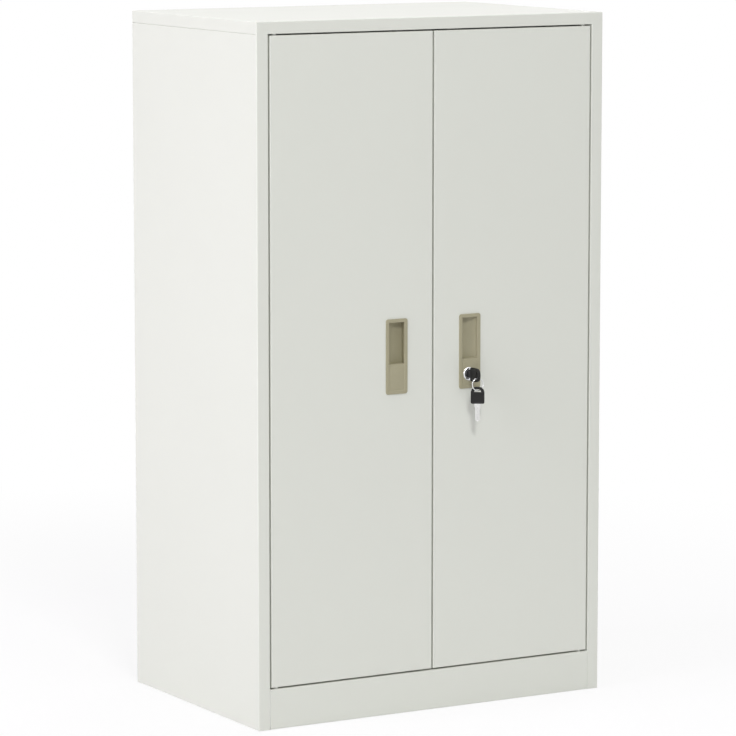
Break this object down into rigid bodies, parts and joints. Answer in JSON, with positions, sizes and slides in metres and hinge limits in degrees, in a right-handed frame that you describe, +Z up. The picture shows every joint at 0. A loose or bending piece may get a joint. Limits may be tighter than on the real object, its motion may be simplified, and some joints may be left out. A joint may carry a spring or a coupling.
{
  "type": "tool cabinet with doors",
  "caption": "Upright steel cabinet with flush doors on corner pivots, clip-in shelves, recessed pulls, a keyed lock that throws rods, and keys on a ring.",
  "frame": {"origin": "on the floor, at the middle of the cabinet's lower rear edge, in the plane of its back", "axes": "+X to the viewer's right, +Y from the doors towards the wall behind, +Z up"},
  "size_m": [0.61, 0.4401, 1.067],
  "materials": {
    "painted_steel": "smooth light grey powder coat",
    "zinc_steel": "zinc plated",
    "nylon": "moulded nylon",
    "handle_plastic": "satin moulded plastic, khaki grey",
    "lock_chrome": "polished",
    "key_plastic": "fine grained moulded plastic",
    "buffer_rubber": "matte"
  },
  "bodies": {
    "carcass": {"left_side_panel": "painted_steel", "right_side_panel": "painted_steel", "back_panel": "painted_steel", "top_panel": "painted_steel", "header_stop": "painted_steel", "plinth_panel": "painted_steel", "floor_panel": "painted_steel", "front_left_shelf_strip": "painted_steel", "rear_left_shelf_strip": "painted_steel", "front_right_shelf_strip": "painted_steel", "rear_right_shelf_strip": "painted_steel", "upper_shelf": "painted_steel", "lower_shelf": "painted_steel", "shelf_clips": "zinc_steel", "cap_screws": "zinc_steel", "cap_nuts": "zinc_steel", "hinge_bushes": "nylon", "magnetic_catches": "nylon", "catch_magnets": "zinc_steel", "door_bumpers": "buffer_rubber"},
    "left_door": {"left_door_panel": "painted_steel", "left_door_stiffener": "painted_steel", "left_pivot_brackets": "zinc_steel", "left_pivot_pins": "zinc_steel", "left_handle_cup": "handle_plastic", "bolt_straps": "zinc_steel"},
    "upper_slide_bolt": {"upper_bolt": "zinc_steel"},
    "lower_slide_bolt": {"lower_bolt": "zinc_steel"},
    "right_door": {"right_door_panel": "painted_steel", "right_door_stiffener": "painted_steel", "right_pivot_brackets": "zinc_steel", "right_pivot_pins": "zinc_steel", "right_handle_cup": "handle_plastic", "rod_guides": "nylon", "lock_barrel": "lock_chrome", "lock_washer": "zinc_steel", "lock_nut": "zinc_steel"},
    "plug": {"lock_plug": "lock_chrome", "lock_cam": "zinc_steel", "cam_screw": "zinc_steel"},
    "upper_rod": {"upper_lock_rod": "zinc_steel"},
    "lower_rod": {"lower_lock_rod": "zinc_steel"},
    "door_key": {"key_head": "key_plastic", "key_blade": "zinc_steel"},
    "ring": {"key_ring": "lock_chrome"},
    "spare_key": {"spare_key_head": "key_plastic", "spare_key_blade": "zinc_steel"}
  },
  "joints": [
    {"name": "left_door_swing", "type": "hinge", "parent": "carcass", "child": "left_door", "pos_m": [-0.272, -0.399, 0.55], "axis": [0, 0, -1], "range_deg": [0, 110]},
    {"name": "right_door_swing", "type": "hinge", "parent": "carcass", "child": "right_door", "pos_m": [0.272, -0.399, 0.55], "axis": [0, 0, 1], "range_deg": [0, 110]},
    {"name": "upper_bolt_slide", "type": "slide", "parent": "left_door", "child": "upper_slide_bolt", "axis": [0, 0, 1], "range_m": [0, 0.013]},
    {"name": "lower_bolt_slide", "type": "slide", "parent": "left_door", "child": "lower_slide_bolt", "axis": [0, 0, -1], "range_m": [0, 0.013]},
    {"name": "lock_turn", "type": "hinge", "parent": "right_door", "child": "plug", "pos_m": [0.0635, -0.406, 0.519], "axis": [0, -1, 0], "range_deg": [0, 90]},
    {"name": "upper_rod_slide", "type": "slide", "parent": "right_door", "child": "upper_rod", "axis": [0, 0, 1], "range_m": [0, 0.01272]},
    {"name": "lower_rod_slide", "type": "slide", "parent": "right_door", "child": "lower_rod", "axis": [0, 0, -1], "range_m": [0, 0.0128]},
    {"name": "key_withdraw", "type": "slide", "parent": "plug", "child": "door_key", "axis": [0, -1, 0], "range_m": [0, 0.03]},
    {"name": "ring_swing", "type": "hinge", "parent": "door_key", "child": "ring", "pos_m": [0.0635, -0.4328, 0.511], "axis": [0, 1, 0], "range_deg": [-75, 75]},
    {"name": "spare_key_swing", "type": "hinge", "parent": "ring", "child": "spare_key", "pos_m": [0.0635, -0.4328, 0.5054], "axis": [0, 1, 0], "range_deg": [-60, 60]}
  ],
  "couplings": [
    {"joint": "lock_turn", "follows": "upper_rod_slide", "rad_per_m": 123.46},
    {"joint": "lower_rod_slide", "follows": "upper_rod_slide", "ratio": 1}
  ]
}
